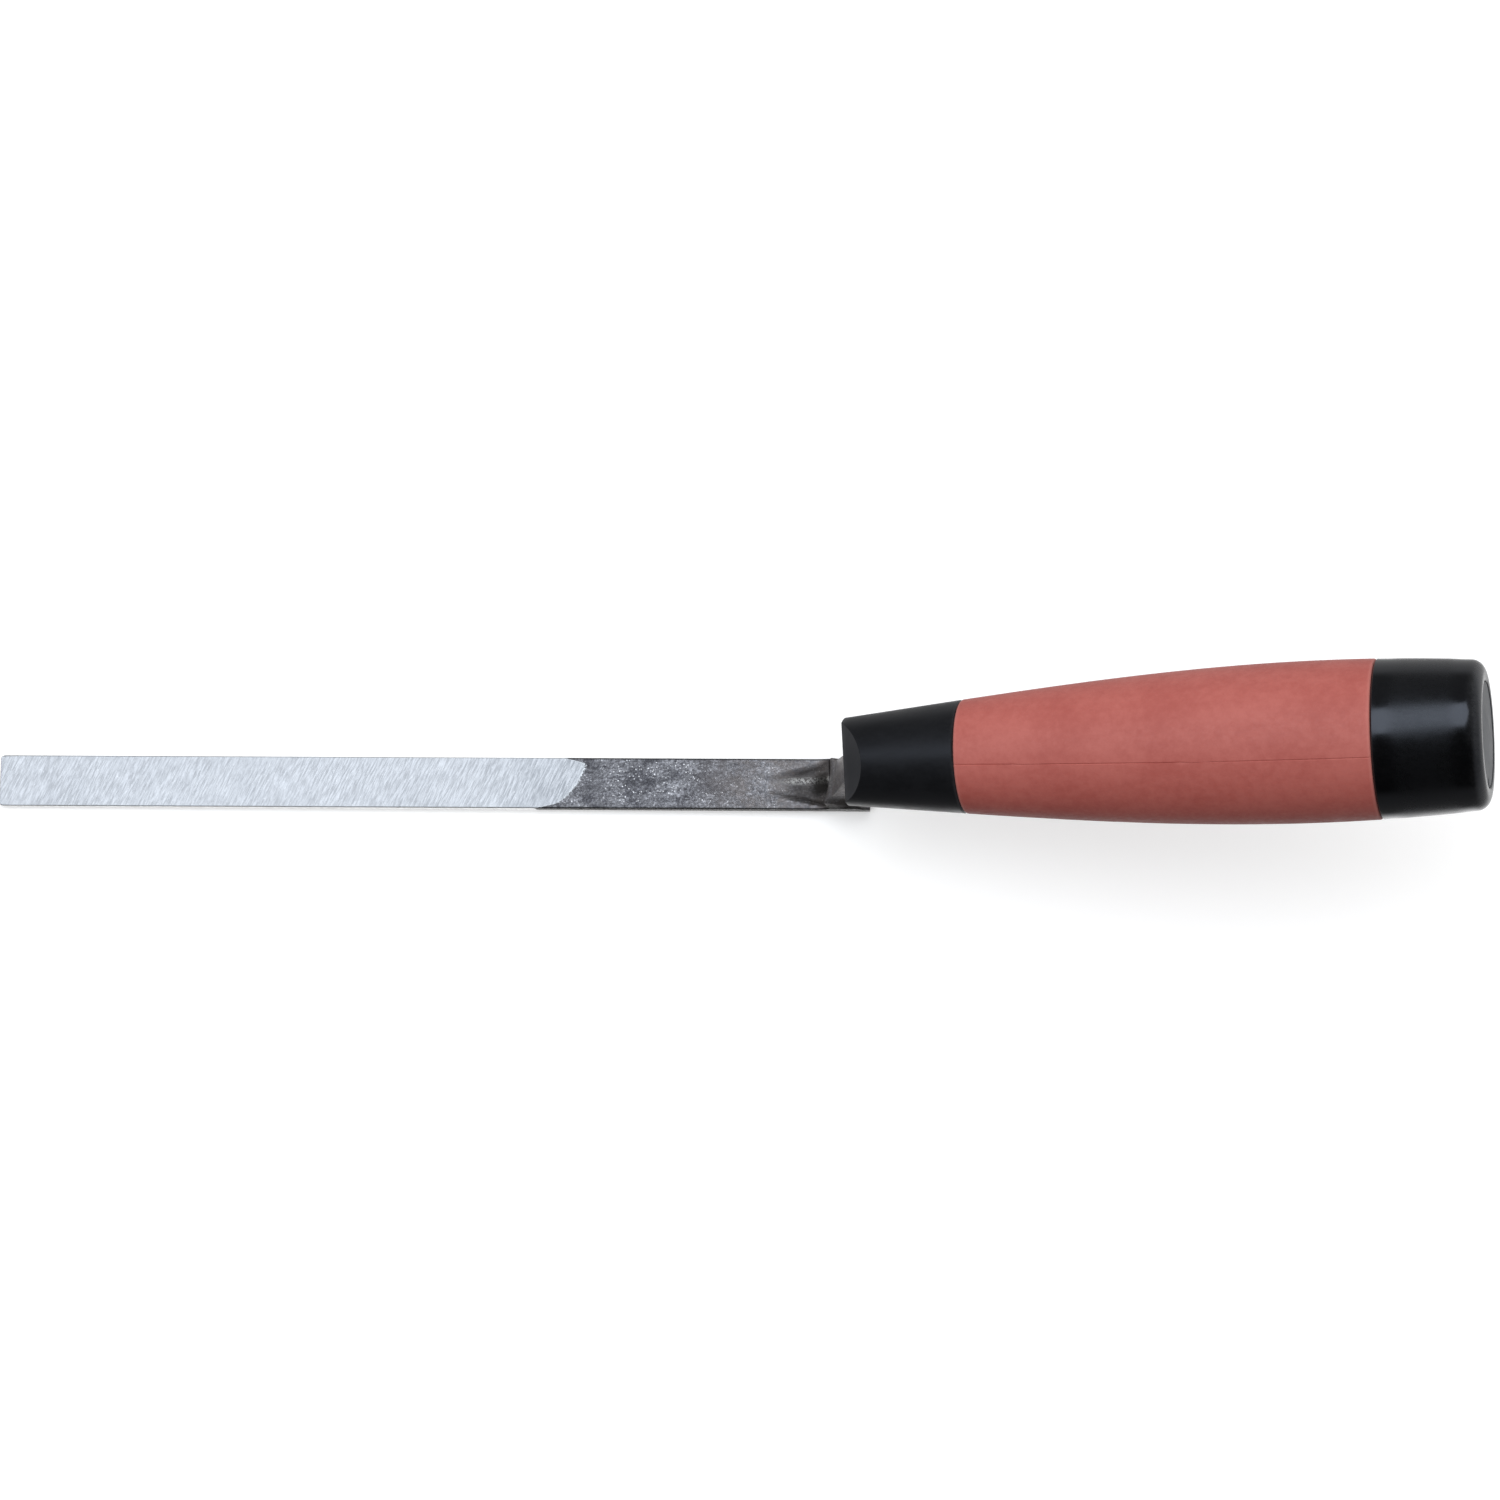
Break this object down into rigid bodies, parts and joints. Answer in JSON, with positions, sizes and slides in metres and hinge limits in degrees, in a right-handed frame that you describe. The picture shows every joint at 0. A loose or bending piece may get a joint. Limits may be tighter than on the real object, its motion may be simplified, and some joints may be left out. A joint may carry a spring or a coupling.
{
  "type": "tuck pointer",
  "caption": "Narrow pointing trowel: a long flat forged blade with a raised neck and a lifted, swelling soft-grip handle with a hard nose and end cap.",
  "frame": {"origin": "middle of the blade's flat underside", "axes": "+X from the blade's tip towards the butt, +Z out of the blade's top face, +Y across; Y = 0 is the plane of symmetry, apart from the turned thumb flat"},
  "size_m": [0.2879, 0.0304, 0.0685],
  "materials": {
    "forged_steel": "ground bright over the front two thirds, dark forging scale behind",
    "satin_black": "satin moulded",
    "core_plastic": "as moulded, hidden",
    "soft_red": "matt soft grip",
    "gloss_black": "polished moulded",
    "washer_steel": "plain, hidden",
    "satin_grey": "satin moulded"
  },
  "bodies": {
    "root": {"blade": "forged_steel", "front_bolster": "satin_black", "handle_core": "core_plastic", "grip_sleeve": "soft_red", "rear_cap": "gloss_black", "tang_washer": "washer_steel", "butt_plug": "satin_grey"}
  },
  "joints": []
}
